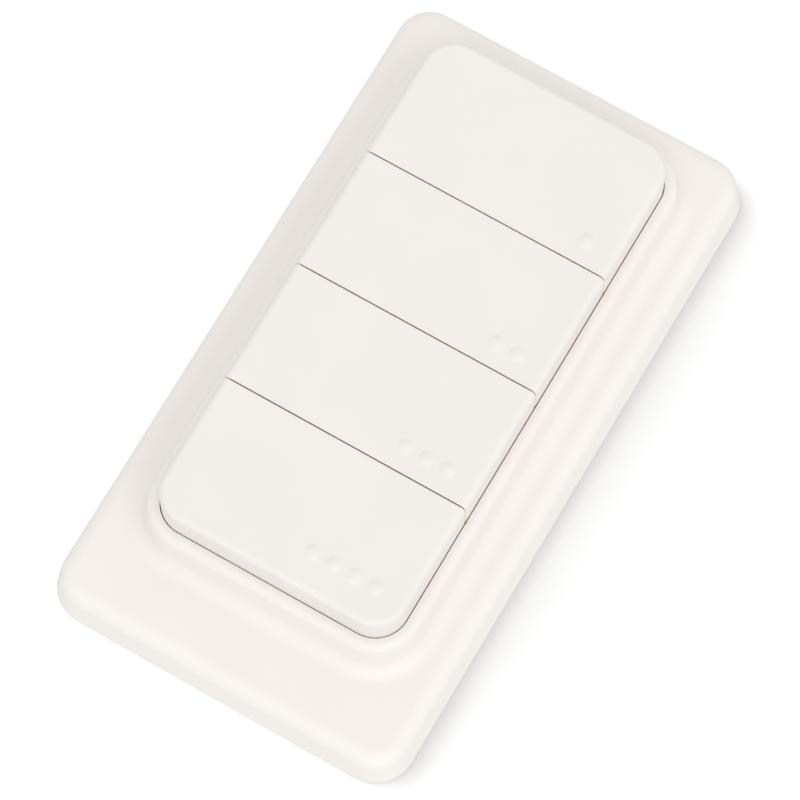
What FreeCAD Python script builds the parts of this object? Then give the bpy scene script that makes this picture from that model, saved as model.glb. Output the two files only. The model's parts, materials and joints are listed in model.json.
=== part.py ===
import FreeCAD, Part
import math
import os
import Sketcher
from FreeCAD import Vector

# Wireless remote wall switch: a moulded wall holder and the four-key remote docked in it.
# The switch lies on its back: +Z out of the front, +Y towards the one-dot key, +X to the right.

doc = FreeCAD.newDocument("wall_switch")
sheet = doc.addObject("Spreadsheet::Sheet", "sizes")

# Driving sizes in millimetres, and in degrees for the drafts.
SIZES = (
    ("plate_width", 44.0, "wall holder, short way"),
    ("plate_length", 81.4, "wall holder, long way"),
    ("plate_corner", 4.5, "corner radius of the holder's outline"),
    ("plate_thickness", 5.2, "back of the holder to its flat front"),
    ("plate_draft", 4.0, "lean of the holder's outer wall"),
    ("rim_rounding", 1.9, "soft front edge of the holder"),
    ("dock_share", 0.387, "dock above the holder's middle, as a share of the front left at an end"),
    ("dock_clearance", 0.15, "gap all round the docked remote"),
    ("dock_floor", 1.8, "thickness of the dock's floor"),
    ("collar_height", 5.2, "rise of the collar over the holder's front"),
    ("collar_wall", 2.05, "collar wall at its foot"),
    ("collar_draft", 8.0, "lean of the collar's outer face"),
    ("collar_blend", 2.0, "hollow blend from the collar into the front"),
    ("collar_rounding", 1.0, "outer edge of the collar's lip"),
    ("lip_rounding", 0.2, "inner edge of the collar's lip"),
    ("lip_flat", 0.1, "least flat between the two edges of the collar's lip"),
    ("core_wall", 1.8, "outer wall left round the cored back"),
    ("core_roof", 1.7, "front wall left over the cored back"),
    ("rib_thickness", 1.2, "ribs across the cored back"),
    ("rib_spacing", 13.0, "side ribs, one to the next"),
    ("end_rib_spacing", 10.4, "end ribs, one to the next"),
    ("rib_setback", 0.4, "ribs below the back face"),
    ("wall_screw_spacing", 48.0, "wall screws, one to the other"),
    ("wall_screw_hole", 3.6, "wall screw hole, across"),
    ("wall_screw_head", 6.0, "countersink, across"),
    ("magnet_spacing", 24.0, "magnets, one to the other"),
    ("magnet_diameter", 8.0, "magnet, across"),
    ("magnet_thickness", 1.2, "magnet, thick"),
    ("magnet_clearance", 0.08, "gap round a magnet"),
    ("remote_width", 29.9, "remote, short way"),
    ("remote_length", 63.1, "remote, long way"),
    ("remote_corner", 3.8, "corner radius of the remote's outline"),
    ("remote_height", 13.2, "back of the remote to the top of its keys"),
    ("cover_thickness", 1.2, "rear cover"),
    ("cover_rounding", 0.5, "back edge of the rear cover"),
    ("tongue_height", 0.8, "locating tongues of the rear cover"),
    ("tongue_thickness", 0.9, "locating tongues of the rear cover"),
    ("tongue_length", 30.0, "locating tongues of the rear cover"),
    ("tongue_clearance", 0.1, "tongue to case wall"),
    ("keeper_diameter", 9.0, "steel disc over a magnet, across"),
    ("keeper_thickness", 0.5, "steel disc over a magnet"),
    ("keeper_clearance", 0.08, "gap round a steel disc"),
    ("case_wall", 1.3, "wall of the remote's case"),
    ("case_height", 5.0, "case, over the rear cover"),
    ("case_boss", 5.2, "screw boss of the case, across"),
    ("screw_inset", 3.6, "case screws, in from the remote's outline"),
    ("screw_diameter", 1.8, "case screw, across"),
    ("screw_head", 3.2, "case screw head, across"),
    ("screw_sink", 0.15, "case screw head below the back"),
    ("screw_clearance", 0.05, "gap round a case screw"),
    ("screw_bite", 1.6, "case screw, length inside the key frame"),
    ("drive_width", 0.4, "slot in the screw head"),
    ("drive_depth", 0.35, "slot in the screw head"),
    ("strap_clearance", 0.1, "battery clip over the rear cover"),
    ("strap_thickness", 0.3, "battery clip sheet"),
    ("strap_width", 6.0, "battery clip, along the remote"),
    ("strap_play", 0.2, "battery clip to the cell's side"),
    ("strap_tab", 1.5, "solder tabs of the battery clip"),
    ("cell_diameter", 20.0, "coin cell, across"),
    ("cell_height", 3.2, "coin cell, thick"),
    ("cell_cap", 17.4, "negative cap of the coin cell, across"),
    ("cell_step", 0.3, "step at the negative cap"),
    ("contact_thickness", 0.3, "negative contact"),
    ("contact_diameter", 8.0, "negative contact, across"),
    ("board_thickness", 0.8, "circuit board"),
    ("board_clearance", 0.3, "circuit board to case wall"),
    ("board_corner", 2.2, "corner radius of the circuit board"),
    ("switch_side", 4.5, "tactile switch, square"),
    ("switch_height", 1.5, "tactile switch without its stem"),
    ("stem_diameter", 2.2, "tactile switch stem, across"),
    ("stem_rise", 0.6, "stem over the switch"),
    ("stem_root", 0.5, "stem inside the switch"),
    ("stem_clearance", 0.06, "gap round the stem"),
    ("frame_thickness", 1.0, "plate of the key frame"),
    ("frame_clearance", 0.4, "key frame to the key skirts"),
    ("frame_corner", 2.2, "corner radius of the key frame"),
    ("frame_boss", 3.8, "screw boss of the key frame, across"),
    ("sleeve_height", 1.5, "guide sleeve over the key frame's plate"),
    ("sleeve_wall", 0.95, "guide sleeve wall"),
    ("plunger_diameter", 3.6, "key plunger, across"),
    ("plunger_clearance", 0.06, "plunger to guide sleeve"),
    ("plunger_margin", 0.1, "plunger tip below the key frame's plate"),
    ("key_pitch", 15.1, "key gap to key gap"),
    ("key_gap", 0.18, "gap between keys"),
    ("key_wall", 1.2, "key skirt"),
    ("key_roof", 1.4, "key top"),
    ("key_rounding", 0.7, "outer edge of the keys"),
    ("key_travel", 0.4, "press of a key"),
    ("key_margin", 0.4, "room left under a pressed key"),
    ("leg_reach", 8.5, "snap legs, out from the middle of a key"),
    ("leg_thickness", 1.2, "snap legs"),
    ("leg_width", 3.0, "snap legs"),
    ("leg_clearance", 0.25, "snap leg to its slot"),
    ("hook_reach", 0.6, "hook of a snap leg"),
    ("hook_height", 0.8, "hook of a snap leg"),
    ("hook_gap", 0.2, "hook below the key frame's plate"),
    ("dot_diameter", 1.8, "raised dot, across"),
    ("dot_height", 0.2, "raised dot over the key"),
    ("dot_pitch", 2.6, "raised dots, one to the next"),
    ("dot_inset", 3.9, "last dot in from the key's right edge"),
    ("dot_rise", 2.8, "dots above the line of the key gap below them"),
    ("module_width", 12.0, "radio module across the board"),
    ("module_length", 8.4, "radio module along the board"),
    ("module_height", 1.6, "radio module over the board"),
    ("chip_side", 5.0, "controller chip, square"),
    ("chip_height", 0.9, "controller chip over the board"),
    ("crystal_width", 3.2, "crystal across the board"),
    ("crystal_length", 2.5, "crystal along the board"),
    ("crystal_height", 0.8, "crystal over the board"),
    ("chip_rounding", 0.25, "upright edges of the board's parts"),
)


class Size:
    """A number together with the sheet formula that it comes from, so that both are written once."""

    def __init__(self, number, formula):
        self.number = number
        self.formula = formula

    def __add__(self, other):
        other = as_size(other)
        return Size(self.number + other.number, f"({self.formula} + {other.formula})")

    def __sub__(self, other):
        other = as_size(other)
        return Size(self.number - other.number, f"({self.formula} - {other.formula})")

    def __mul__(self, other):
        other = as_size(other)
        return Size(self.number * other.number, f"({self.formula} * {other.formula})")

    def __truediv__(self, other):
        other = as_size(other)
        return Size(self.number / other.number, f"({self.formula} / {other.formula})")

    def __neg__(self):
        return Size(-self.number, f"(-1 * {self.formula})")


def as_size(value):
    """Turn a plain number into a Size, and leave a Size as it is."""
    if isinstance(value, Size):
        return value
    return Size(float(value), repr(float(value)))


def least(first, second):
    """Return the smaller of two sizes."""
    return Size(min(first.number, second.number), f"min({first.formula}; {second.formula})")


def lean_run(height, lean):
    """Return how far a leaning wall comes in over its height."""
    return Size(height.number * math.tan(math.radians(lean.number)),
                f"({height.formula} * tan({lean.formula}))")


def rise_angle(height, radius):
    """Return the latitude, in degrees, of a height above the middle of a sphere."""
    ratio = height / radius
    return Size(math.degrees(math.asin(ratio.number)), f"asin({ratio.formula})")


sizes = {}
for row, (alias, number, meaning) in enumerate(SIZES, start=1):
    sheet.set(f"A{row}", alias)
    sheet.set(f"B{row}", str(number))
    sheet.set(f"C{row}", meaning)
    sheet.setAlias(f"B{row}", alias)
    sizes[alias] = Size(number, f"sizes.{alias}")
doc.recompute()

ZERO = as_size(0)
nodes = []

# Places and heights this near, in millimetres, count as the same, and an edge may overstep its
# outline by the slack.
NEAR = 1e-4
SLACK = 0.01


# Helpers for sketches and features

def place(item, x, y, z):
    """Bind the place of a body or primitive to the sheet."""
    for axis, value in zip("xyz", (x, y, z)):
        item.setExpression(f"Placement.Base.{axis}", as_size(value).formula)


def new_body(name, x=ZERO, y=ZERO, z=ZERO):
    """Start a body for one node, at a place bound to the sheet."""
    body = doc.addObject("PartDesign::Body", name)
    body.Label = name
    place(body, x, y, z)
    nodes.append(body)
    return body


def new_sketch(body, name, plane="XY_Plane", height=ZERO):
    """Start a sketch on one of the body's own planes, raised along the plane's normal."""
    sketch = body.newObject("Sketcher::SketchObject", name)
    support = [item for item in body.Origin.OriginFeatures if item.Role == plane][0]
    sketch.AttachmentSupport = (support, "")
    sketch.MapMode = "FlatFace"
    sketch.setExpression("AttachmentOffset.Base.z", as_size(height).formula)
    return sketch


def pin_point(sketch, curve, end, x, y):
    """Bind both coordinates of a sketch point."""
    for kind, axis_curve, value in (("DistanceX", -2, x), ("DistanceY", -1, y)):
        if value.number == 0:
            sketch.addConstraint(Sketcher.Constraint("PointOnObject", curve, end, axis_curve))
            continue
        index = sketch.addConstraint(Sketcher.Constraint(kind, curve, end, value.number))
        name = f"{kind}_{curve}_{end}"
        sketch.renameConstraint(index, name)
        sketch.setExpression(f"Constraints.{name}", value.formula)


def bind_radius(sketch, curve, radius):
    """Bind the radius of a sketch circle or arc."""
    index = sketch.addConstraint(Sketcher.Constraint("Radius", curve, radius.number))
    name = f"radius_{curve}"
    sketch.renameConstraint(index, name)
    sketch.setExpression(f"Constraints.{name}", radius.formula)


def sign(value):
    """Return -1, 0 or 1."""
    return (value > NEAR) - (value < -NEAR)


def draw_outline(sketch, corners):
    """Draw a closed outline. A corner is (x, y), or (x, y, radius) between two runs along the axes."""
    corners = [tuple(as_size(value) for value in corner) for corner in corners]
    count = len(corners)
    arrive = []
    leave = []
    for index, corner in enumerate(corners):
        x, y = corner[:2]
        if len(corner) == 2:
            arrive.append((x, y))
            leave.append((x, y))
            continue
        before = corners[index - 1]
        after = corners[(index + 1) % count]
        radius = corner[2]
        arrive.append((x - radius * sign(x.number - before[0].number),
                       y - radius * sign(y.number - before[1].number)))
        leave.append((x + radius * sign(after[0].number - x.number),
                      y + radius * sign(after[1].number - y.number)))
    lines = []
    for index in range(count):
        start = leave[index]
        finish = arrive[(index + 1) % count]
        line = sketch.addGeometry(Part.LineSegment(
            Vector(start[0].number, start[1].number, 0),
            Vector(finish[0].number, finish[1].number, 0)))
        lines.append(line)
        pin_point(sketch, line, 1, *start)
    for index in range(count):
        line_in = lines[index - 1]
        line_out = lines[index]
        if len(corners[index]) == 2:
            sketch.addConstraint(Sketcher.Constraint("Coincident", line_in, 2, line_out, 1))
            continue
        pin_point(sketch, line_in, 2, *arrive[index])
        draw_corner(sketch, corners[index], arrive[index], leave[index], line_in, line_out)


def draw_corner(sketch, corner, arrive, leave, line_in, line_out):
    """Round one corner of an outline with an arc that meets both of its runs."""
    x, y, radius = corner
    centre = Vector(arrive[0].number + leave[0].number - x.number,
                    arrive[1].number + leave[1].number - y.number, 0)
    first = math.atan2(arrive[1].number - centre.y, arrive[0].number - centre.x)
    last = math.atan2(leave[1].number - centre.y, leave[0].number - centre.x)
    leftward = (last - first) % (2 * math.pi) < math.pi
    if not leftward:
        first, last = last, first
    circle = Part.Circle(centre, Vector(0, 0, 1), radius.number)
    arc = sketch.addGeometry(Part.ArcOfCircle(circle, first, last))
    arc_in, arc_out = (1, 2) if leftward else (2, 1)
    sketch.addConstraint(Sketcher.Constraint("Coincident", line_in, 2, arc, arc_in))
    sketch.addConstraint(Sketcher.Constraint("Coincident", line_out, 1, arc, arc_out))
    bind_radius(sketch, arc, radius)


def draw_rectangle(sketch, width, length, radius=None, x=ZERO, y=ZERO):
    """Draw a rectangle about (x, y), its corners rounded if a radius is given."""
    half_width = as_size(width) / 2
    half_length = as_size(length) / 2
    x = as_size(x)
    y = as_size(y)
    corners = [(x - half_width, y - half_length), (x + half_width, y - half_length),
               (x + half_width, y + half_length), (x - half_width, y + half_length)]
    if radius is not None:
        corners = [corner + (radius,) for corner in corners]
    draw_outline(sketch, corners)


def draw_circle(sketch, diameter, x=ZERO, y=ZERO):
    """Draw a circle about (x, y)."""
    radius = diameter / 2
    x = as_size(x)
    y = as_size(y)
    circle = Part.Circle(Vector(x.number, y.number, 0), Vector(0, 0, 1), radius.number)
    curve = sketch.addGeometry(circle)
    pin_point(sketch, curve, 3, x, y)
    bind_radius(sketch, curve, radius)


def extrude(body, kind, sketch, length, turned=False, lean=None, both_ways=False):
    """Add a Pad along the sketch's normal, or a Pocket against it."""
    feature = body.newObject(f"PartDesign::{kind}", f"{sketch.Name}_{kind.lower()}")
    feature.Profile = sketch
    feature.setExpression("Length", as_size(length).formula)
    feature.Reversed = turned
    feature.Midplane = both_ways
    if lean is not None:
        feature.setExpression("TaperAngle", lean.formula)
    sketch.Visibility = False
    return feature


def dress(body, kind, name, size, wanted):
    """Add a Fillet or Chamfer on the edges of the body so far that the test picks."""
    doc.recompute()
    base = body.Tip
    edges = [f"Edge{index}" for index, edge in enumerate(base.Shape.Edges, start=1) if wanted(edge)]
    feature = body.newObject(f"PartDesign::{kind}", name)
    feature.Base = (base, edges)
    feature.setExpression("Radius" if kind == "Fillet" else "Size", size.formula)
    return feature


def at_height(edge, height):
    """Tell whether an edge lies wholly at one height of its body."""
    box = edge.BoundBox
    return abs(box.ZMin - height.number) < NEAR and abs(box.ZMax - height.number) < NEAR


def compound(name, pieces):
    """Gather identical loose pieces in one node."""
    group = doc.addObject("Part::Compound", name)
    group.Label = name
    group.Links = pieces
    nodes.append(group)


def cylinder(name, diameter, height, x, y, z):
    """Make a plain upright disc or pin."""
    item = doc.addObject("Part::Cylinder", name)
    item.setExpression("Radius", (diameter / 2).formula)
    item.setExpression("Height", height.formula)
    place(item, x, y, z)
    return item


# Heights and places that several pieces share. Heights of the remote count from its own back.

lip_height = sizes["plate_thickness"] + sizes["collar_height"]
opening_width = sizes["remote_width"] + sizes["dock_clearance"] * 2
opening_length = sizes["remote_length"] + sizes["dock_clearance"] * 2
opening_corner = sizes["remote_corner"] + sizes["dock_clearance"]
collar_width = opening_width + sizes["collar_wall"] * 2
collar_length = opening_length + sizes["collar_wall"] * 2
collar_corner = opening_corner + sizes["collar_wall"]

# The dock lies above the middle of the plate, so the front is wider below it than above it.
# Each rounding is limited by the narrowest front or by the collar's lip.
plate_run = lean_run(sizes["plate_thickness"], sizes["plate_draft"])
side_front = (sizes["plate_width"] - collar_width) / 2 - plate_run
end_front = (sizes["plate_length"] - collar_length) / 2 - plate_run
dock_y = end_front * sizes["dock_share"]
half_front = least(side_front, end_front - dock_y) / 2
rim_rounding = least(sizes["rim_rounding"], half_front)
collar_blend = least(sizes["collar_blend"], half_front)
lip_width = sizes["collar_wall"] - lean_run(sizes["collar_height"], sizes["collar_draft"])
collar_rounding = least(sizes["collar_rounding"], lip_width - sizes["lip_rounding"] - sizes["lip_flat"])

remote_place = (ZERO, dock_y, sizes["dock_floor"])
strap_bottom = sizes["cover_thickness"] + sizes["strap_clearance"]
cell_bottom = strap_bottom + sizes["strap_thickness"]
cell_top = cell_bottom + sizes["cell_height"]
board_bottom = cell_top + sizes["contact_thickness"]
board_top = board_bottom + sizes["board_thickness"]
switch_top = board_top + sizes["switch_height"]
stem_top = switch_top + sizes["stem_rise"]
frame_bottom = stem_top + sizes["plunger_margin"]
frame_top = frame_bottom + sizes["frame_thickness"]
case_top = sizes["cover_thickness"] + sizes["case_height"]
skirt_bottom = case_top + sizes["key_travel"] + sizes["key_margin"]
roof_bottom = sizes["remote_height"] - sizes["key_roof"]
partition_bottom = frame_top + sizes["key_travel"] + sizes["key_margin"]
hook_top = frame_bottom - sizes["hook_gap"]
hook_bottom = hook_top - sizes["hook_height"]
leg_outside = sizes["leg_reach"] + sizes["leg_thickness"]

half_width = sizes["remote_width"] / 2
half_length = sizes["remote_length"] / 2
screw_places = []
for side_x in (-1, 1):
    for side_y in (-1, 1):
        screw_places.append(((half_width - sizes["screw_inset"]) * side_x,
                             (half_length - sizes["screw_inset"]) * side_y))

# Each key: its lower and upper edge along the remote, and which end of the remote it rounds off.
key_edge = sizes["key_pitch"] + sizes["key_gap"] / 2
KEYS = (
    (key_edge, half_length, 1),
    (sizes["key_gap"] / 2, sizes["key_pitch"] - sizes["key_gap"] / 2, 0),
    (sizes["key_gap"] / 2 - sizes["key_pitch"], -(sizes["key_gap"] / 2), 0),
    (-half_length, -key_edge, -1),
)
key_centres = [(low + high) / 2 for low, high, end in KEYS]


# Wall holder: one moulding, plate, collar and dock, cored out from behind and stiffened by ribs

holder = new_body("wall_holder")
sketch = new_sketch(holder, "plate_outline")
draw_rectangle(sketch, sizes["plate_width"], sizes["plate_length"], sizes["plate_corner"])
extrude(holder, "Pad", sketch, sizes["plate_thickness"], lean=-sizes["plate_draft"])
dress(holder, "Fillet", "rim", rim_rounding, lambda edge: at_height(edge, sizes["plate_thickness"]))

sketch = new_sketch(holder, "collar_outline", height=sizes["plate_thickness"])
draw_rectangle(sketch, collar_width, collar_length, collar_corner, y=dock_y)
extrude(holder, "Pad", sketch, sizes["collar_height"], lean=-sizes["collar_draft"])
dress(holder, "Fillet", "collar_edge", collar_rounding, lambda edge: at_height(edge, lip_height))


def at_collar_foot(edge):
    """Tell whether an edge runs round the foot of the collar."""
    box = edge.BoundBox
    reach = collar_width.number / 2 + SLACK
    ends = collar_length.number / 2 + SLACK
    middle = dock_y.number
    inside = max(-box.XMin, box.XMax) < reach and box.YMax < middle + ends and box.YMin > middle - ends
    return inside and at_height(edge, sizes["plate_thickness"])


dress(holder, "Fillet", "collar_foot", collar_blend, at_collar_foot)

sketch = new_sketch(holder, "dock", height=lip_height)
draw_rectangle(sketch, opening_width, opening_length, opening_corner, y=dock_y)
extrude(holder, "Pocket", sketch, lip_height - sizes["dock_floor"])


def at_dock_mouth(edge):
    """Tell whether an edge runs round the mouth of the dock."""
    box = edge.BoundBox
    inside = max(-box.XMin, box.XMax) < opening_width.number / 2 + SLACK
    middle = dock_y.number
    ends = opening_length.number / 2 + SLACK
    return inside and box.YMax < middle + ends and box.YMin > middle - ends and at_height(edge, lip_height)


dress(holder, "Fillet", "lip_edge", sizes["lip_rounding"], at_dock_mouth)

core_depth = sizes["plate_thickness"] - sizes["core_roof"]
sketch = new_sketch(holder, "cored_back")
draw_rectangle(sketch, sizes["plate_width"] - sizes["core_wall"] * 2,
               sizes["plate_length"] - sizes["core_wall"] * 2,
               sizes["plate_corner"] - sizes["core_wall"])
draw_rectangle(sketch, collar_width, collar_length, collar_corner, y=dock_y)
extrude(holder, "Pocket", sketch, core_depth, turned=True)

# Ribs run from inside the dock's wall into the outer wall, so both their ends are fused.
rib_inside = opening_width / 2 + sizes["collar_wall"] / 2
rib_outside = sizes["plate_width"] / 2 - sizes["core_wall"] / 2
dock_end = opening_length / 2 + sizes["collar_wall"] / 2
plate_end = sizes["plate_length"] / 2 - sizes["core_wall"] / 2
half_rib = sizes["rib_thickness"] / 2
sketch = new_sketch(holder, "ribs", height=sizes["rib_setback"])
for step in range(-2, 3):
    rib_y = dock_y + sizes["rib_spacing"] * step
    for side in (-1, 1):
        near = rib_inside * side
        far = rib_outside * side
        draw_outline(sketch, [(near, rib_y - half_rib), (far, rib_y - half_rib),
                              (far, rib_y + half_rib), (near, rib_y + half_rib)])
for step in range(-1, 2):
    rib_x = sizes["end_rib_spacing"] * step
    for near, far in ((dock_y - dock_end, -plate_end), (dock_y + dock_end, plate_end)):
        draw_outline(sketch, [(rib_x - half_rib, near), (rib_x + half_rib, near),
                              (rib_x + half_rib, far), (rib_x - half_rib, far)])
extrude(holder, "Pad", sketch, core_depth + sizes["core_roof"] / 2 - sizes["rib_setback"])

sketch = new_sketch(holder, "magnet_seats", height=sizes["dock_floor"])
for side in (-1, 1):
    draw_circle(sketch, sizes["magnet_diameter"] + sizes["magnet_clearance"] * 2,
                y=dock_y + sizes["magnet_spacing"] / 2 * side)
extrude(holder, "Pocket", sketch, sizes["magnet_thickness"])

sketch = new_sketch(holder, "wall_screw_holes", height=sizes["dock_floor"])
for side in (-1, 1):
    draw_circle(sketch, sizes["wall_screw_hole"],
                y=dock_y + sizes["wall_screw_spacing"] / 2 * side)
extrude(holder, "Pocket", sketch, sizes["dock_floor"])


def at_wall_screw(edge):
    """Tell whether an edge is the inner mouth of a wall screw hole."""
    round_edge = hasattr(edge.Curve, "Radius")
    return (round_edge and at_height(edge, sizes["dock_floor"])
            and abs(edge.Curve.Radius - sizes["wall_screw_hole"].number / 2) < NEAR)


dress(holder, "Chamfer", "countersinks",
      (sizes["wall_screw_head"] - sizes["wall_screw_hole"]) / 2, at_wall_screw)

compound("holder_magnets", [
    cylinder(f"magnet_{side + 2}", sizes["magnet_diameter"], sizes["magnet_thickness"], ZERO,
             dock_y + sizes["magnet_spacing"] / 2 * side,
             sizes["dock_floor"] - sizes["magnet_thickness"])
    for side in (-1, 1)])


# Rear cover of the remote, with steel discs over the magnets and sunk screw heads

cover = new_body("rear_cover", *remote_place)
sketch = new_sketch(cover, "cover_outline")
draw_rectangle(sketch, sizes["remote_width"], sizes["remote_length"], sizes["remote_corner"])
extrude(cover, "Pad", sketch, sizes["cover_thickness"])
dress(cover, "Fillet", "cover_edge", sizes["cover_rounding"], lambda edge: at_height(edge, ZERO))
sketch = new_sketch(cover, "cover_tongues", height=sizes["cover_thickness"])
tongue_x = (half_width - sizes["case_wall"] - sizes["tongue_clearance"]
            - sizes["tongue_thickness"] / 2)
for side in (-1, 1):
    draw_rectangle(sketch, sizes["tongue_thickness"], sizes["tongue_length"], x=tongue_x * side)
extrude(cover, "Pad", sketch, sizes["tongue_height"])
sketch = new_sketch(cover, "keeper_seats", height=sizes["cover_thickness"])
for side in (-1, 1):
    draw_circle(sketch, sizes["keeper_diameter"] + sizes["keeper_clearance"] * 2,
                y=sizes["magnet_spacing"] / 2 * side)
extrude(cover, "Pocket", sketch, sizes["keeper_thickness"])

screw_hole = sizes["screw_diameter"] + sizes["screw_clearance"] * 2
sink_width = sizes["screw_head"] + sizes["screw_clearance"] * 2
sink_depth = (sizes["screw_head"] - sizes["screw_diameter"]) / 2
sketch = new_sketch(cover, "cover_screw_holes", height=sizes["cover_thickness"])
for x, y in screw_places:
    draw_circle(sketch, screw_hole, x=x, y=y)
extrude(cover, "Pocket", sketch, sizes["cover_thickness"])


def at_cover_screw(edge):
    """Tell whether an edge is the outer mouth of a case screw hole."""
    round_edge = hasattr(edge.Curve, "Radius")
    return (round_edge and at_height(edge, ZERO)
            and abs(edge.Curve.Radius - screw_hole.number / 2) < NEAR)


dress(cover, "Chamfer", "cover_sinks", sink_depth + sizes["screw_sink"], at_cover_screw)

compound("keeper_plates", [
    cylinder(f"keeper_{side + 2}", sizes["keeper_diameter"], sizes["keeper_thickness"], ZERO,
             dock_y + sizes["magnet_spacing"] / 2 * side,
             sizes["dock_floor"] + sizes["cover_thickness"] - sizes["keeper_thickness"])
    for side in (-1, 1)])


# Case of the remote: a wall with a screw boss in each corner that carries the board

case = new_body("remote_case", *remote_place)
sketch = new_sketch(case, "case_outline", height=sizes["cover_thickness"])
draw_rectangle(sketch, sizes["remote_width"], sizes["remote_length"], sizes["remote_corner"])
draw_rectangle(sketch, sizes["remote_width"] - sizes["case_wall"] * 2,
               sizes["remote_length"] - sizes["case_wall"] * 2,
               sizes["remote_corner"] - sizes["case_wall"])
extrude(case, "Pad", sketch, sizes["case_height"])
sketch = new_sketch(case, "case_bosses", height=sizes["cover_thickness"])
for x, y in screw_places:
    draw_circle(sketch, sizes["case_boss"], x=x, y=y)
extrude(case, "Pad", sketch, board_bottom - sizes["cover_thickness"])
sketch = new_sketch(case, "case_screw_holes", height=board_bottom)
for x, y in screw_places:
    draw_circle(sketch, screw_hole, x=x, y=y)
extrude(case, "Pocket", sketch, board_bottom - sizes["cover_thickness"])


# Circuit board on the bosses, with the parts soldered to it

board = new_body("circuit_board", *remote_place)
sketch = new_sketch(board, "board_outline", height=board_bottom)
board_inset = (sizes["case_wall"] + sizes["board_clearance"]) * 2
draw_rectangle(sketch, sizes["remote_width"] - board_inset, sizes["remote_length"] - board_inset,
               sizes["board_corner"])
for x, y in screw_places:
    draw_circle(sketch, screw_hole, x=x, y=y)
extrude(board, "Pad", sketch, sizes["board_thickness"])

BOARD_PARTS = (
    ("radio_module", "module_width", "module_length", "module_height", sizes["key_pitch"]),
    ("crystal", "crystal_width", "crystal_length", "crystal_height", ZERO),
    ("controller_chip", "chip_side", "chip_side", "chip_height", -sizes["key_pitch"]),
)
for name, width, length, height, y in BOARD_PARTS:
    part = new_body(name, *remote_place)
    sketch = new_sketch(part, f"{name}_outline", height=board_top)
    draw_rectangle(sketch, sizes[width], sizes[length], sizes["chip_rounding"], y=y)
    extrude(part, "Pad", sketch, sizes[height])


# Coin cell under the board, held between a sheet-metal strap and a contact disc

cell = new_body("coin_cell", *remote_place)
sketch = new_sketch(cell, "cell_profile", plane="XZ_Plane")
shoulder = cell_top - sizes["cell_step"]
draw_outline(sketch, [(ZERO, cell_bottom), (sizes["cell_diameter"] / 2, cell_bottom),
                      (sizes["cell_diameter"] / 2, shoulder), (sizes["cell_cap"] / 2, shoulder),
                      (sizes["cell_cap"] / 2, cell_top), (ZERO, cell_top)])
turned = cell.newObject("PartDesign::Revolution", "cell_turned")
turned.Profile = sketch
turned.ReferenceAxis = (sketch, ["V_Axis"])
turned.Angle = 360

clip = new_body("battery_clip", *remote_place)
sketch = new_sketch(clip, "clip_profile", plane="XZ_Plane")
clip_inside = sizes["cell_diameter"] / 2 + sizes["strap_play"]
clip_outside = clip_inside + sizes["strap_thickness"]
tab_end = clip_outside + sizes["strap_tab"]
tab_bottom = board_bottom - sizes["strap_thickness"]
draw_outline(sketch, [(-clip_outside, strap_bottom), (clip_outside, strap_bottom),
                      (clip_outside, tab_bottom), (tab_end, tab_bottom), (tab_end, board_bottom),
                      (clip_inside, board_bottom), (clip_inside, cell_bottom),
                      (-clip_inside, cell_bottom), (-clip_inside, board_bottom),
                      (-tab_end, board_bottom), (-tab_end, tab_bottom), (-clip_outside, tab_bottom)])
extrude(clip, "Pad", sketch, sizes["strap_width"], both_ways=True)

contact = new_body("battery_contact", *remote_place)
sketch = new_sketch(contact, "contact_outline", height=cell_top)
draw_circle(sketch, sizes["contact_diameter"])
extrude(contact, "Pad", sketch, sizes["contact_thickness"])


# Key frame: a plate on four bosses, with a guide sleeve and two snap slots for each key

frame = new_body("key_frame", *remote_place)
frame_inset = (sizes["key_wall"] + sizes["frame_clearance"]) * 2
sketch = new_sketch(frame, "frame_plate", height=frame_bottom)
draw_rectangle(sketch, sizes["remote_width"] - frame_inset, sizes["remote_length"] - frame_inset,
               sizes["frame_corner"])
extrude(frame, "Pad", sketch, sizes["frame_thickness"])
bore = sizes["plunger_diameter"] + sizes["plunger_clearance"] * 2
sketch = new_sketch(frame, "frame_sleeves", height=frame_bottom)
for y in key_centres:
    draw_circle(sketch, bore + sizes["sleeve_wall"] * 2, y=y)
extrude(frame, "Pad", sketch, sizes["frame_thickness"] + sizes["sleeve_height"])
sketch = new_sketch(frame, "frame_bosses", height=board_top)
for x, y in screw_places:
    draw_circle(sketch, sizes["frame_boss"], x=x, y=y)
extrude(frame, "Pad", sketch, frame_top - board_top)
sketch = new_sketch(frame, "frame_bores", height=frame_top + sizes["sleeve_height"])
for y in key_centres:
    draw_circle(sketch, bore, y=y)
extrude(frame, "Pocket", sketch, sizes["frame_thickness"] + sizes["sleeve_height"])
sketch = new_sketch(frame, "snap_slots", height=frame_top)
for y in key_centres:
    for side in (-1, 1):
        draw_rectangle(sketch, sizes["leg_thickness"] + sizes["leg_clearance"] * 2,
                       sizes["leg_width"] + sizes["leg_clearance"] * 2,
                       x=(sizes["leg_reach"] + sizes["leg_thickness"] / 2) * side, y=y)
extrude(frame, "Pocket", sketch, sizes["frame_thickness"])
sketch = new_sketch(frame, "frame_pilot_holes", height=board_top)
for x, y in screw_places:
    draw_circle(sketch, screw_hole, x=x, y=y)
extrude(frame, "Pocket", sketch, sizes["screw_bite"] + sizes["screw_clearance"], turned=True)


# Case screws: a sunk slotted head and a shank up into the key frame's boss

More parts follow.
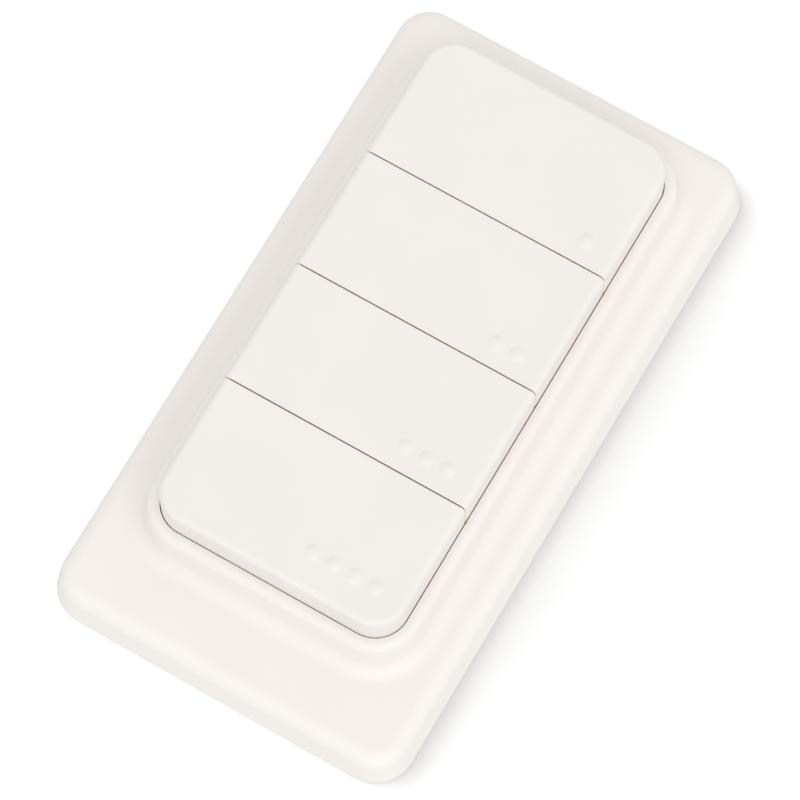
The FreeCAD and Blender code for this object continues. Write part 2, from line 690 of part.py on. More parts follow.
head_bottom = sizes["screw_sink"] + sizes["dock_floor"]
shank_length = board_top + sizes["screw_bite"] - sizes["screw_sink"]
slot_length = sizes["screw_head"] + sizes["drive_width"] * 2
screws = []
for index, (x, y) in enumerate(screw_places, start=1):
    y = y + dock_y
    head = doc.addObject("Part::Cone", f"screw_head_{index}")
    head.setExpression("Radius1", (sizes["screw_head"] / 2).formula)
    head.setExpression("Radius2", (sizes["screw_diameter"] / 2).formula)
    head.setExpression("Height", sink_depth.formula)
    place(head, x, y, head_bottom)
    shank = cylinder(f"screw_shank_{index}", sizes["screw_diameter"], shank_length, x, y, head_bottom)
    whole = doc.addObject("Part::Fuse", f"screw_blank_{index}")
    whole.Base = head
    whole.Tool = shank
    slot = doc.addObject("Part::Box", f"screw_slot_{index}")
    slot.setExpression("Length", slot_length.formula)
    slot.setExpression("Width", sizes["drive_width"].formula)
    slot.setExpression("Height", (sizes["drive_depth"] * 2).formula)
    place(slot, x - slot_length / 2, y - sizes["drive_width"] / 2, head_bottom - sizes["drive_depth"])
    screw = doc.addObject("Part::Cut", f"screw_{index}")
    screw.Base = whole
    screw.Tool = slot
    screws.append(screw)
compound("case_screws", screws)


# Tactile switches: a square base on the board and a stem that its key pushes in

for number, y in enumerate(key_centres, start=1):
    base = new_body(f"switch_base_{number}", *remote_place)
    sketch = new_sketch(base, f"switch_outline_{number}", height=board_top)
    draw_rectangle(sketch, sizes["switch_side"], sizes["switch_side"], sizes["chip_rounding"], y=y)
    extrude(base, "Pad", sketch, sizes["switch_height"])
    sketch = new_sketch(base, f"switch_well_{number}", height=switch_top)
    draw_circle(sketch, sizes["stem_diameter"] + sizes["stem_clearance"] * 2, y=y)
    extrude(base, "Pocket", sketch,
            sizes["stem_root"] + sizes["key_travel"] + sizes["stem_clearance"])
    stem = new_body(f"switch_stem_{number}", *remote_place)
    sketch = new_sketch(stem, f"stem_outline_{number}", height=switch_top - sizes["stem_root"])
    draw_circle(sketch, sizes["stem_diameter"], y=y)
    extrude(stem, "Pad", sketch, sizes["stem_root"] + sizes["stem_rise"])


# Keys: thin caps with a skirt on the outside only, a plunger, two hooked legs and raised dots

dot_radius = sizes["dot_diameter"] / 2
dot_sphere = (dot_radius * dot_radius / sizes["dot_height"] + sizes["dot_height"]) / 2
dot_root = rise_angle(dot_sphere - sizes["dot_height"] - sizes["key_roof"] / 2, dot_sphere)
inner_width = half_width - sizes["key_wall"]
inner_corner = sizes["remote_corner"] - sizes["key_wall"]


def cap_outline(width, low, high, end, radius):
    """List the corners of a key's outline, rounded at the end of the remote that it forms."""
    lower = (radius,) if end < 0 else ()
    upper = (radius,) if end > 0 else ()
    return [(-width, low) + lower, (width, low) + lower, (width, high) + upper, (-width, high) + upper]


for number, (low_edge, high_edge, end) in enumerate(KEYS, start=1):
    centre = key_centres[number - 1]
    low = low_edge - centre
    high = high_edge - centre
    key = new_body(f"key_{number}", ZERO, dock_y + centre, sizes["dock_floor"])
    sketch = new_sketch(key, f"cap_{number}", height=skirt_bottom)
    draw_outline(sketch, cap_outline(half_width, low, high, end, sizes["remote_corner"]))
    extrude(key, "Pad", sketch, sizes["remote_height"] - skirt_bottom)

    def on_outside(edge):
        """Tell whether a top edge lies on the remote's outline and not beside another key."""
        if not at_height(edge, sizes["remote_height"]):
            return False
        middle = edge.valueAt((edge.FirstParameter + edge.LastParameter) / 2)
        beside_low = end >= 0 and abs(middle.y - low.number) < NEAR
        beside_high = end <= 0 and abs(middle.y - high.number) < NEAR
        return not beside_low and not beside_high

    dress(key, "Fillet", f"cap_edge_{number}", sizes["key_rounding"], on_outside)

    inner_low = low + sizes["key_wall"]
    inner_high = high - sizes["key_wall"]
    sketch = new_sketch(key, f"hollow_{number}", height=skirt_bottom)
    draw_outline(sketch, cap_outline(inner_width, inner_low, inner_high, end, inner_corner))
    extrude(key, "Pocket", sketch, roof_bottom - skirt_bottom, turned=True)

    # The walls beside other keys stop short, to pass over the key frame's plate.
    open_low = inner_low if end < 0 else low - sizes["key_gap"]
    open_high = inner_high if end > 0 else high + sizes["key_gap"]
    sketch = new_sketch(key, f"relief_{number}", height=skirt_bottom)
    draw_outline(sketch, cap_outline(inner_width, open_low, open_high, end, inner_corner))
    extrude(key, "Pocket", sketch, partition_bottom - skirt_bottom, turned=True)

    root = roof_bottom + sizes["key_roof"] / 2
    sketch = new_sketch(key, f"plunger_{number}", height=stem_top)
    draw_circle(sketch, sizes["plunger_diameter"])
    extrude(key, "Pad", sketch, root - stem_top)

    hook_end = leg_outside + sizes["hook_reach"]
    sketch = new_sketch(key, f"legs_{number}", plane="XZ_Plane")
    for side in (-1, 1):
        draw_outline(sketch, [(sizes["leg_reach"] * side, hook_bottom), (leg_outside * side, hook_bottom),
                              (hook_end * side, hook_bottom + sizes["hook_reach"]),
                              (hook_end * side, hook_top), (leg_outside * side, hook_top),
                              (leg_outside * side, root), (sizes["leg_reach"] * side, root)])
    extrude(key, "Pad", sketch, sizes["leg_width"], both_ways=True)

    for index in range(number):
        dot = key.newObject("PartDesign::AdditiveSphere", f"dot_{number}_{index + 1}")
        dot.AttachmentSupport = [(item, "") for item in key.Origin.OriginFeatures
                                 if item.Role == "XY_Plane"]
        dot.MapMode = "FlatFace"
        dot.setExpression("Radius", dot_sphere.formula)
        dot.setExpression("Angle1", dot_root.formula)
        dot_x = half_width - sizes["dot_inset"] - sizes["dot_pitch"] * index
        dot_y = sizes["key_pitch"] * (2 - number) + sizes["dot_rise"] - centre
        dot_z = sizes["remote_height"] + sizes["dot_height"] - dot_sphere
        for axis, value in zip("xyz", (dot_x, dot_y, dot_z)):
            dot.setExpression(f"AttachmentOffset.Base.{axis}", value.formula)


# Check the document and write one file for each piece

doc.recompute()
for item in doc.Objects:
    if "Invalid" in item.State or "Error" in item.State:
        raise RuntimeError(f"{item.Name} did not build: {item.State}")
os.makedirs("parts", exist_ok=True)
for node in nodes:
    if node.Shape.isNull() or not node.Shape.isValid() or not node.Shape.Solids:
        raise RuntimeError(f"{node.Label} has no valid solid")
    node.Shape.exportStep(f"parts/{node.Label}.step")
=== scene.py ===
import json
import math

import bmesh
import bpy
import numpy as np
from mathutils import Matrix, Vector
from mathutils.geometry import tessellate_polygon

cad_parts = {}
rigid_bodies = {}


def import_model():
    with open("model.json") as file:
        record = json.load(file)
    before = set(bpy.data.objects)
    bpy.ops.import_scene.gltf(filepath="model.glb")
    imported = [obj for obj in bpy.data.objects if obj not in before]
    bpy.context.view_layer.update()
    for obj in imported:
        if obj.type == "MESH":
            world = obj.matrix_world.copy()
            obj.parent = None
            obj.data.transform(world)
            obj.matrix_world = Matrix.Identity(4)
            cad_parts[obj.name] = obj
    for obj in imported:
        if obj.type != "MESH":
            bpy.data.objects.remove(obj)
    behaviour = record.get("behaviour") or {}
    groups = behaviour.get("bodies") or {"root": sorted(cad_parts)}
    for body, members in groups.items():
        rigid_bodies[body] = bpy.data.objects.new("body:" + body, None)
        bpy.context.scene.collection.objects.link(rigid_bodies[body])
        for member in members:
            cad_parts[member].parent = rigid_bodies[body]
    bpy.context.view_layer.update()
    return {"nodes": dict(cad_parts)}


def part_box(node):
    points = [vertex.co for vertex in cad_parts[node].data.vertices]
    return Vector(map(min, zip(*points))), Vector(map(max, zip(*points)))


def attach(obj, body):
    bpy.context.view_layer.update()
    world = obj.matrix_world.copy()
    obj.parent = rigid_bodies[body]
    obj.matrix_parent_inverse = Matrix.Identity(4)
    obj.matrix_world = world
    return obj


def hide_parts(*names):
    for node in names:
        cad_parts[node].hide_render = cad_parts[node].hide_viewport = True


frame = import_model()


# Wall holder: one moulding in warm white plastic with a fine spark-eroded grain. A low collar
# rises round the dock for the remote, and the back is cored out and stiffened by ribs.
# Two countersunk screws through the floor of the dock fix it to the wall.
MM = 0.001
plate_corner = 4.5 * MM
plate_lean = math.radians(8.5)
plate_top = 5.2 * MM
rim_rounding = 1.9 * MM
foot_break = 0.2 * MM
dock_clearance = 0.10 * MM
dock_floor = 1.8 * MM
remote_corner = 3.8 * MM
collar_wall = 2.05 * MM
collar_lean = math.radians(8.0)
collar_blend = 2.0 * MM
collar_rounding = 1.0 * MM
lip_rounding = 0.08 * MM
core_wall = 1.8 * MM
core_roof = 1.7 * MM
core_blend = 0.5 * MM
rib_thickness = 1.2 * MM
rib_spacing = 13.0 * MM
rib_setback = 0.4 * MM
end_rib_spacing = 10.4 * MM
wall_screw_spacing = 48.0 * MM
wall_screw_hole = 3.6 * MM
wall_screw_head = 6.0 * MM
magnet_spacing = 24.0 * MM
magnet_seat = 8.16 * MM
magnet_depth = 1.2 * MM
flat_guard = 0.12 * MM
warm_white = (0.811, 0.774, 0.741, 1.0)
warm_white_shade = (0.799, 0.761, 0.726, 1.0)

CORNER_STEPS = 12
ARC_STEPS = 10
ROUND_STEPS = 48
EVEN_RUN = (0.2, 0.4, 0.6, 0.8)
MERGE_DISTANCE = 0.0002 * MM
SHARP_ANGLE = math.radians(32)


def rounded_loops(left, right, low, high, radii, height, run=EVEN_RUN):
    """Rounded rectangles, one closed row of points for each entry of the arrays.

    A corner point is the corner's centre plus its radius times (cos a, sin a), where a goes through
    a quarter turn. On the runs, a point is the end of one corner plus a share of the way to the next.
    """
    left, right, low, high, height = np.broadcast_arrays(left, right, low, high, height)
    radii = np.broadcast_to(radii, (len(height), 4))
    centre_x = np.stack([right, left, left, right], axis=1) - radii * np.array([1, -1, -1, 1])
    centre_y = np.stack([high, high, low, low], axis=1) - radii * np.array([1, 1, -1, -1])
    angle = (np.arange(4)[:, None] + np.linspace(0, 1, CORNER_STEPS + 1)) * np.pi / 2
    arcs = np.stack([centre_x[:, :, None] + radii[:, :, None] * np.cos(angle),
                     centre_y[:, :, None] + radii[:, :, None] * np.sin(angle)], axis=3)
    ends = arcs[:, :, -1:]
    starts = np.roll(arcs[:, :, :1], -1, axis=1)
    runs = ends + (starts - ends) * np.asarray(run)[:, None]
    flat = np.concatenate([arcs, runs], axis=2).reshape(len(height), -1, 2)
    upright = np.broadcast_to(height[:, None, None], flat.shape[:2] + (1,))
    return np.concatenate([flat, upright], axis=2)


def turned(radius, height, x, y):
    """A profile turned about an upright axis: x + r cos a, y + r sin a, z, one row for each (r, z)."""
    angle = np.linspace(0, 2 * np.pi, ROUND_STEPS, endpoint=False)
    radius = np.asarray(radius)[:, None]
    height = np.broadcast_to(np.asarray(height)[:, None], (len(radius), ROUND_STEPS))
    return np.stack([x + radius * np.cos(angle), y + radius * np.sin(angle), height], axis=2)


def skin(rows):
    """Four-sided faces between each closed row of points and the next."""
    count, around = rows.shape[:2]
    index = np.arange(count * around).reshape(count, around)
    after = np.roll(index, -1, axis=1)
    faces = np.stack([index[:-1], index[1:], after[1:], after[:-1]], axis=2).reshape(-1, 4)
    return rows.reshape(-1, 3), faces.tolist()


def flat_face(*loops):
    """A flat face between an outer loop and the holes in it, cut into triangles."""
    faces = tessellate_polygon([[Vector(point) for point in loop] for loop in loops])
    return np.concatenate(loops), [list(face) for face in faces]


def arc(centre, middle, radius, first, last):
    """Points of a section: centre plus the radius times (cos a, sin a), a from first to last."""
    angle = np.radians(np.linspace(first, last, ARC_STEPS + 1))
    return centre + radius * np.cos(angle), middle + radius * np.sin(angle)


def make_piece(name, parts, material):
    """Join surfaces at their shared edges into one mesh that is smooth but for its sharp edges."""
    points = np.concatenate([part[0] for part in parts])
    starts = np.cumsum([0] + [len(part[0]) for part in parts])
    faces = [[start + corner for corner in face]
             for start, part in zip(starts, parts) for face in part[1]]
    mesh = bpy.data.meshes.new(name)
    mesh.from_pydata(points.tolist(), [], faces)
    shell = bmesh.new()
    shell.from_mesh(mesh)
    bmesh.ops.remove_doubles(shell, verts=shell.verts, dist=MERGE_DISTANCE)
    bmesh.ops.dissolve_degenerate(shell, edges=shell.edges, dist=MERGE_DISTANCE)
    bmesh.ops.recalc_face_normals(shell, faces=shell.faces)
    shell.to_mesh(mesh)
    shell.free()
    mesh.shade_smooth()
    mesh.set_sharp_from_angle(angle=SHARP_ANGLE)
    mesh.materials.append(material)
    piece = bpy.data.objects.new(name, mesh)
    bpy.context.scene.collection.objects.link(piece)
    return piece


def moulded_plastic(name, colour, shade, roughness, grain_size, grain_depth):
    """Moulded plastic: a faint cloudiness of the colour, and the mould's fine grain as bump and gloss."""
    cloud_size = 9.0 * MM
    gloss_spread = 0.06
    grain_strength = 0.35
    material = bpy.data.materials.new(name)
    material.use_nodes = True
    nodes = material.node_tree.nodes
    links = material.node_tree.links
    shader = nodes["Principled BSDF"]
    place = nodes.new("ShaderNodeTexCoord")
    cloud = nodes.new("ShaderNodeTexNoise")
    cloud.inputs["Scale"].default_value = 1 / cloud_size
    cloud.inputs["Detail"].default_value = 3.0
    tint = nodes.new("ShaderNodeValToRGB")
    tint.color_ramp.elements[0].position = 0.35
    tint.color_ramp.elements[0].color = shade
    tint.color_ramp.elements[1].position = 0.65
    tint.color_ramp.elements[1].color = colour
    grain = nodes.new("ShaderNodeTexNoise")
    grain.inputs["Scale"].default_value = 1 / grain_size
    grain.inputs["Detail"].default_value = 2.0
    gloss = nodes.new("ShaderNodeMapRange")
    gloss.inputs["To Min"].default_value = roughness - gloss_spread
    gloss.inputs["To Max"].default_value = roughness + gloss_spread
    bump = nodes.new("ShaderNodeBump")
    bump.inputs["Strength"].default_value = grain_strength
    bump.inputs["Distance"].default_value = grain_depth
    links.new(place.outputs["Object"], cloud.inputs["Vector"])
    links.new(place.outputs["Object"], grain.inputs["Vector"])
    links.new(cloud.outputs["Fac"], tint.inputs["Fac"])
    links.new(tint.outputs["Color"], shader.inputs["Base Color"])
    links.new(grain.outputs["Fac"], gloss.inputs["Value"])
    links.new(gloss.outputs["Result"], shader.inputs["Roughness"])
    links.new(grain.outputs["Fac"], bump.inputs["Height"])
    links.new(bump.outputs["Normal"], shader.inputs["Normal"])
    return material


holder_low, holder_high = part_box("wall_holder")
case_low, case_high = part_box("remote_case")
lip = holder_high.z
dock_y = (case_low.y + case_high.y) / 2
dock_half_x = case_high.x + dock_clearance
dock_half_y = case_high.y - dock_y + dock_clearance


def dock_loops(out, height):
    """Loops parallel to the mouth of the dock: each side moves out that far, and its corners grow by it."""
    out, height = np.atleast_1d(out), np.atleast_1d(height)
    radii = np.repeat((remote_corner + dock_clearance + out)[:, None], 4, axis=1)
    return rounded_loops(-dock_half_x - out, dock_half_x + out, dock_y - dock_half_y - out,
                         dock_y + dock_half_y + out, radii, height)


def plate_loops(inward, height):
    """Loops parallel to the outer wall's foot: each side moves in that far, and its corners shrink by it."""
    inward, height = np.atleast_1d(inward), np.atleast_1d(height)
    radii = np.repeat((plate_corner - inward)[:, None], 4, axis=1)
    return rounded_loops(holder_low.x + inward, holder_high.x - inward, holder_low.y + inward,
                         holder_high.y - inward, radii, height)


# The section runs up the dock's wall, over the lip, down the collar and its hollow blend, out over
# the flat front, round the rim and down to the wall, then back under through the cored hollow.
lip_edge = collar_wall - (lip - plate_top) * math.tan(collar_lean)
collar_turn = (math.pi / 2 + collar_lean) / 2
edge_centre = lip_edge - collar_rounding / math.tan(collar_turn)
blend_centre = collar_wall + collar_blend / math.tan(collar_turn)
rim_turn = (math.pi / 2 + plate_lean) / 2
rim_centre = plate_top * math.tan(plate_lean) + rim_rounding / math.tan(rim_turn)
core_top = plate_top - core_roof
lean_degrees = math.degrees(collar_lean)
sections = [
    dock_loops(np.zeros(2), np.array([dock_floor, lip - 2 * lip_rounding])),
    dock_loops(*arc(lip_rounding, lip - lip_rounding, lip_rounding, 180, 90)),
    dock_loops(*arc(edge_centre, lip - collar_rounding, collar_rounding, 90, lean_degrees)),
    dock_loops(*arc(blend_centre, plate_top + collar_blend, collar_blend, 180 + lean_degrees, 270)),
    dock_loops(blend_centre + flat_guard, plate_top),
    plate_loops(rim_centre + flat_guard, plate_top),
    plate_loops(*arc(rim_centre, plate_top - rim_rounding, rim_rounding, 90,
                     180 - math.degrees(plate_lean))),
    plate_loops(np.array([2 * foot_break * math.tan(plate_lean)]), 2 * foot_break),
    plate_loops(*arc(foot_break, foot_break, foot_break, 180, 270)),
    plate_loops(np.array([2 * foot_break, core_wall - foot_break]), np.zeros(2)),
    plate_loops(*arc(core_wall - foot_break, foot_break, foot_break, 270, 360)),
    plate_loops(*arc(core_wall + core_blend, core_top - core_blend, core_blend, 180, 90)),
    dock_loops(*arc(collar_wall + core_blend, core_top - core_blend, core_blend, 90, 180)),
    dock_loops(*arc(collar_wall - foot_break, foot_break, foot_break, 0, -90)),
    dock_loops(collar_wall - 2 * foot_break, 0.0),
]
walls = np.concatenate(sections)
holder_parts = [skin(walls)]

# Screw holes with their countersinks, and blind seats for the magnets, in the floor of the dock.
floor_holes = []
back_holes = []
for side in (-1, 1):
    screw_y = dock_y + side * wall_screw_spacing / 2
    sink = (wall_screw_head - wall_screw_hole) / 2
    screw_wall = turned([wall_screw_hole / 2, wall_screw_hole / 2, wall_screw_head / 2],
                        [0.0, dock_floor - sink, dock_floor], 0.0, screw_y)
    magnet_y = dock_y + side * magnet_spacing / 2
    seat_wall = turned([magnet_seat / 2, magnet_seat / 2],
                       [dock_floor - magnet_depth, dock_floor], 0.0, magnet_y)
    floor_holes += [screw_wall[-1], seat_wall[-1]]
    back_holes.append(screw_wall[0])
    holder_parts += [skin(screw_wall), skin(seat_wall), flat_face(seat_wall[0])]
holder_parts.append(flat_face(walls[0], *floor_holes))
holder_parts.append(flat_face(walls[-1], *back_holes))


def rib(left, right, low, high):
    """An upright bar from just inside the back to inside the front wall, its lower edges broken."""
    inset = np.array([foot_break, foot_break / 2, 0.0, 0.0])
    height = np.array([rib_setback, rib_setback + foot_break / 8, rib_setback + foot_break,
                       core_top + core_roof / 2])
    loops = rounded_loops(left + inset, right - inset, low + inset, high - inset,
                          np.full((4, 4), foot_break / 2), height)
    return [skin(loops), flat_face(loops[0]), flat_face(loops[-1])]


half_rib = rib_thickness / 2
side_near = dock_half_x + collar_wall / 2
side_far = holder_high.x - core_wall / 2
for step in range(-2, 3):
    rib_y = dock_y + step * rib_spacing
    holder_parts += rib(side_near, side_far, rib_y - half_rib, rib_y + half_rib)
    holder_parts += rib(-side_far, -side_near, rib_y - half_rib, rib_y + half_rib)
end_near = dock_half_y + collar_wall / 2
end_far = holder_high.y - core_wall / 2
for step in range(-1, 2):
    rib_x = step * end_rib_spacing
    holder_parts += rib(rib_x - half_rib, rib_x + half_rib, dock_y + end_near, end_far)
    holder_parts += rib(rib_x - half_rib, rib_x + half_rib, -end_far, dock_y - end_near)

holder_plastic = moulded_plastic("holder_plastic", colour=warm_white, shade=warm_white_shade, roughness=0.46,
                                 grain_size=0.16 * MM, grain_depth=0.006 * MM)
holder = make_piece("holder_moulding", holder_parts, holder_plastic)
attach(holder, "holder")
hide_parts("wall_holder")


# Magnets, keeper discs and case screws: nickel-plated magnets pressed into the floor of the dock, plain
# steel discs in the remote's back that they pull on, and four zinc-plated steel screws that hold the
# remote together.
def bare_metal(name, colour, shade, roughness, streak):
    """Plated or rolled metal: fine streaks along one axis turn the gloss and shift the colour a little."""
    grain_size = 0.5 * MM
    gloss_spread = 0.08
    material = bpy.data.materials.new(name)
    material.use_nodes = True
    nodes = material.node_tree.nodes
    links = material.node_tree.links
    shader = nodes["Principled BSDF"]
    shader.inputs["Metallic"].default_value = 1.0
    place = nodes.new("ShaderNodeTexCoord")
    stretch = nodes.new("ShaderNodeMapping")
    stretch.inputs["Scale"].default_value = streak
    grain = nodes.new("ShaderNodeTexNoise")
    grain.inputs["Scale"].default_value = 1 / grain_size
    grain.inputs["Detail"].default_value = 4.0
    tint = nodes.new("ShaderNodeValToRGB")
    tint.color_ramp.elements[0].color = shade
    tint.color_ramp.elements[1].color = colour
    gloss = nodes.new("ShaderNodeMapRange")
    gloss.inputs["To Min"].default_value = roughness - gloss_spread
    gloss.inputs["To Max"].default_value = roughness + gloss_spread
    links.new(place.outputs["Object"], stretch.inputs["Vector"])
    links.new(stretch.outputs["Vector"], grain.inputs["Vector"])
    links.new(grain.outputs["Fac"], tint.inputs["Fac"])
    links.new(tint.outputs["Color"], shader.inputs["Base Color"])
    links.new(grain.outputs["Fac"], gloss.inputs["Value"])
    links.new(gloss.outputs["Result"], shader.inputs["Roughness"])
    return material


def finish_nodes(material, *names):
    """Give CAD nodes their finish in place of the plain one that they came with."""
    for name in names:
        mesh = frame["nodes"][name].data
        mesh.materials.clear()
        mesh.materials.append(material)


even_streak = (1.0, 1.0, 1.0)
long_streak = (1.0, 0.05, 1.0)
magnet_plating = bare_metal("magnet_plating", colour=(0.72, 0.70, 0.66, 1), shade=(0.60, 0.58, 0.54, 1),
                            roughness=0.28, streak=even_streak)
finish_nodes(magnet_plating, "holder_magnets")
steel = bare_metal("steel", colour=(0.56, 0.56, 0.55, 1), shade=(0.45, 0.45, 0.44, 1),
                   roughness=0.34, streak=long_streak)
finish_nodes(steel, "keeper_plates", "case_screws")


# Back and wall of the remote: two mouldings in the same warm white, clamped by the four screws.
# In the dock they lie hidden, under the skirts of the keys.
case_plastic = moulded_plastic("case_plastic", colour=(0.775, 0.74, 0.69, 1), shade=(0.755, 0.72, 0.67, 1),
                               roughness=0.5, grain_size=0.2 * MM, grain_depth=0.008 * MM)
finish_nodes(case_plastic, "rear_cover", "remote_case")


# Circuit board: glass-fibre sheet under dark green lacquer, paler over the copper runs. It lies on the
# bosses of the case. A tinned radio can, a resin chip and a crystal can are soldered on.
run_pitch = 3.2 * MM
run_width = 0.08
lacquer = (0.012, 0.085, 0.040, 1)
lacquer_thick = (0.016, 0.098, 0.046, 1)
lacquer_over_copper = (0.035, 0.160, 0.070, 1)
board_lacquer = bpy.data.materials.new("board_lacquer")
board_lacquer.use_nodes = True
board_nodes = board_lacquer.node_tree.nodes
board_links = board_lacquer.node_tree.links
board_place = board_nodes.new("ShaderNodeTexCoord")
board_runs = board_nodes.new("ShaderNodeTexBrick")
board_runs.inputs["Scale"].default_value = 1 / run_pitch
board_runs.inputs["Mortar Size"].default_value = run_width
board_runs.inputs["Color1"].default_value = lacquer
board_runs.inputs["Color2"].default_value = lacquer_thick
board_runs.inputs["Mortar"].default_value = lacquer_over_copper
board_shader = board_nodes["Principled BSDF"]
board_shader.inputs["Roughness"].default_value = 0.3
board_links.new(board_place.outputs["Object"], board_runs.inputs["Vector"])
board_links.new(board_runs.outputs["Color"], board_shader.inputs["Base Color"])
finish_nodes(board_lacquer, "circuit_board")
shield_can = bare_metal("shield_can", colour=(0.70, 0.70, 0.68, 1), shade=(0.60, 0.60, 0.58, 1),
                        roughness=0.3, streak=even_streak)
finish_nodes(shield_can, "radio_module", "crystal")
black_resin = moulded_plastic("black_resin", colour=(0.022, 0.022, 0.024, 1), shade=(0.015, 0.015, 0.017, 1),
                              roughness=0.55, grain_size=0.12 * MM, grain_depth=0.006 * MM)
finish_nodes(black_resin, "controller_chip")


# Coin cell with its strap and contact: a bright steel cell under the board, held up by a bent strap of
# spring steel whose tabs are soldered to the board, against a disc of sprung brass.
cell_steel = bare_metal("cell_steel", colour=(0.66, 0.66, 0.65, 1), shade=(0.56, 0.56, 0.55, 1),
                        roughness=0.25, streak=even_streak)
finish_nodes(cell_steel, "coin_cell")
spring_steel = bare_metal("spring_steel", colour=(0.60, 0.58, 0.54, 1), shade=(0.50, 0.48, 0.45, 1),
                          roughness=0.32, streak=long_streak)
finish_nodes(spring_steel, "battery_clip")
contact_brass = bare_metal("contact_brass", colour=(0.80, 0.60, 0.28, 1), shade=(0.68, 0.50, 0.22, 1),
                           roughness=0.3, streak=long_streak)
finish_nodes(contact_brass, "battery_contact")


# Key frame and tactile switches: a moulded plate that guides the keys and takes the four screws, and
# the switches on the board below it, black resin bases with small stems that go down with their keys.
frame_plastic = moulded_plastic("frame_plastic", colour=(0.70, 0.67, 0.62, 1), shade=(0.67, 0.64, 0.59, 1),
                                roughness=0.5, grain_size=0.2 * MM, grain_depth=0.008 * MM)
finish_nodes(frame_plastic, "key_frame")
stem_plastic = moulded_plastic("stem_plastic", colour=(0.10, 0.10, 0.105, 1), shade=(0.08, 0.08, 0.085, 1),
                               roughness=0.45, grain_size=0.12 * MM, grain_depth=0.006 * MM)
KEY_NUMBERS = (1, 2, 3, 4)
for number in KEY_NUMBERS:
    finish_nodes(black_resin, f"switch_base_{number}")
    finish_nodes(stem_plastic, f"switch_stem_{number}")


# Keys: four thin caps side by side that make the face of the remote, moulded in the same warm white.
# Skirts hang down outside the key frame, a plunger reaches the switch, and two hooked legs hold each
# key down. One to four raised dots near the right edge tell the keys apart by touch.
key_rounding = 0.7 * MM
gap_rounding = 0.06 * MM
gap_corner = 0.1 * MM
gap_end = 1.2 * MM
# Shares and colour of the painted glow: amber painted into the keys' colour in their gaps, in place of light
# through the plastic.
gap_painted_glow = 0.45
gap_end_painted_glow = 0.75
painted_glow_colour = (0.97, 0.86, 0.72, 1)
key_wall = 1.2 * MM
key_roof = 1.4 * MM
skirt_bottom = 8.8 * MM
partition_bottom = 11.7 * MM
inner_edge = 0.05 * MM
plunger_radius = 1.8 * MM
plunger_bottom = 9.8 * MM
leg_reach = 8.5 * MM
leg_thickness = 1.2 * MM
leg_width = 3.0 * MM
hook_reach = 0.6 * MM
hook_height = 0.8 * MM
dot_radius = 0.9 * MM
dot_height = 0.2 * MM
dot_pitch = 2.6 * MM
dot_inset = 3.9 * MM
dot_rise = 2.8 * MM
dot_foot = 0.12 * MM


def edge_inset(depth, rounding):
    """How far a rounded edge stands back, that deep under the top: r - sqrt(r^2 - (r - depth)^2)."""
    left_over = np.clip(rounding - depth, 0, None)
    return rounding - np.sqrt(rounding ** 2 - left_over ** 2)


def key_cap(low, high, top, rounds_low, rounds_high):
    """A cap as one closed skin: down the outside from the top, round the skirt's rim, up the inside.

    Each row is a rounded rectangle that stands back from the outline by the rounding of each side,
    large on the remote's outside and small beside another key. Beside another key the rim is higher,
    between the two posts that the outer skirts end in.
    """
    half_x = case_high.x
    quarter = np.linspace(0, np.pi / 2, ARC_STEPS + 1)
    depth = np.unique(np.concatenate([key_rounding * (1 - np.cos(quarter)),
                                      gap_rounding * (1 - np.cos(quarter[::2]))]))
    height = np.concatenate([[top], top - depth, [partition_bottom, partition_bottom]])
    guard = np.where(np.arange(len(height)) == 0, flat_guard, 0.0)
    outer = edge_inset(top - height, key_rounding) + guard
    beside = edge_inset(top - height, gap_rounding) + guard
    low_inset = outer if rounds_low else beside
    high_inset = outer if rounds_high else beside
    low_corner = remote_corner - outer if rounds_low else np.full_like(outer, gap_corner)
    high_corner = remote_corner - outer if rounds_high else np.full_like(outer, gap_corner)
    radii = np.stack([high_corner, high_corner, low_corner, low_corner], axis=1)
    post = (key_wall - gap_corner) / (2 * (half_x - gap_corner))
    outside = rounded_loops(outer - half_x, half_x - outer, low + low_inset, high - high_inset, radii,
                            height, (post, post, 0.5, 1 - post, 1 - post))

    inner_x = half_x - key_wall
    hollow_corner = remote_corner - key_wall
    low_inner = hollow_corner if rounds_low else inner_edge
    high_inner = hollow_corner if rounds_high else inner_edge
    inner_radii = np.array([high_inner, high_inner, low_inner, low_inner])
    inner_height = np.array([partition_bottom, partition_bottom, top - key_roof])
    inside = rounded_loops(np.full(3, -inner_x), inner_x, low + key_wall, high - key_wall, inner_radii,
                           inner_height, (0.0, 0.0, 0.5, 1.0, 1.0))

    # Each side's points end with the five of its run, of which the middle three lie between the posts.
    side = np.arange(outside.shape[1]).reshape(4, -1)
    lowered = np.ones(outside.shape[1], bool)
    if not rounds_high:
        lowered[side[0, -4:-1]] = False
    if not rounds_low:
        lowered[side[2, -4:-1]] = False
    outside[-1, lowered, 2] = skirt_bottom
    inside[0, lowered, 2] = skirt_bottom
    return np.concatenate([outside, inside])


def dome(x, y, top):
    """A low raised dot: a ball's cap, sqrt(R^2 - r^2) - R + its height, run out softly at its foot."""
    ball = (dot_radius ** 2 / dot_height + dot_height) / 2
    out = np.linspace(0, dot_radius - dot_foot / 2, ARC_STEPS + 1)
    rise = np.sqrt(ball ** 2 - out ** 2) - ball + dot_height
    foot = np.array([dot_radius, dot_radius + dot_foot])
    return turned(np.concatenate([out, foot]), top + np.concatenate([rise, [rise[-1] / 4, 0.0]]), x, y)


